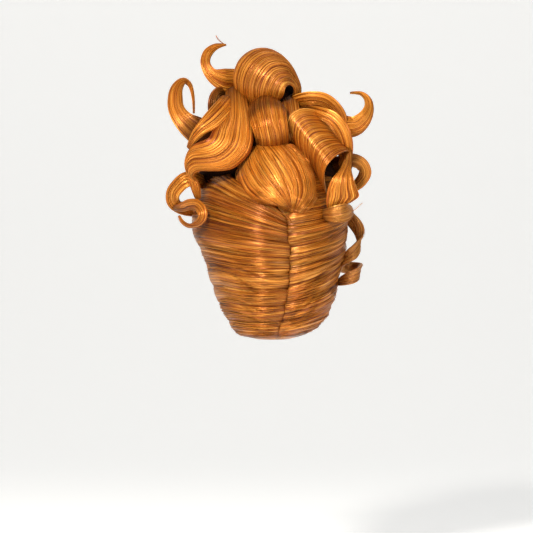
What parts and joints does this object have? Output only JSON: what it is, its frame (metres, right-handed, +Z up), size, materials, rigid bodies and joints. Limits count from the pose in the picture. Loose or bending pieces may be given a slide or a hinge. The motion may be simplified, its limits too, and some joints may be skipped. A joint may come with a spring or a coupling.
{
  "type": "wig",
  "caption": "Copper updo wig: swept side rolls meeting in a vertical back seam, smooth crown roll and a tall pile of loose ribbon curls on a black net cap.",
  "frame": {"origin": "inside top of the cap, where the crown of the head bears", "axes": "+Z up, +Y the way the wearer faces, +X to the wearer's right"},
  "size_m": [0.2469, 0.2338, 0.3536],
  "materials": {
    "copper_hair": "glossy synthetic hair in fine parallel strands",
    "black_net": "matt black net"
  },
  "bodies": {
    "root": {"wig_cap": "black_net", "crown_roll": "copper_hair", "left_roll": "copper_hair", "right_roll": "copper_hair", "front_sweep": "copper_hair", "height_pad": "black_net", "left_s_curl": "copper_hair", "left_over_ribbon": "copper_hair", "right_barrel": "copper_hair", "right_barrel_tail": "copper_hair", "right_over_ribbon": "copper_hair", "centre_loop": "copper_hair", "centre_fall": "copper_hair", "top_curl": "copper_hair", "left_flick": "copper_hair", "left_hook": "copper_hair", "left_back_curl": "copper_hair", "left_ringlet_outer": "copper_hair", "left_ringlet_inner": "copper_hair", "right_upper_curl": "copper_hair", "right_hook": "copper_hair", "right_small_loop": "copper_hair", "right_end_roll": "copper_hair", "right_hanging_ringlet": "copper_hair", "front_curl_left": "copper_hair", "front_curl_middle": "copper_hair", "front_curl_right": "copper_hair"}
  },
  "joints": []
}
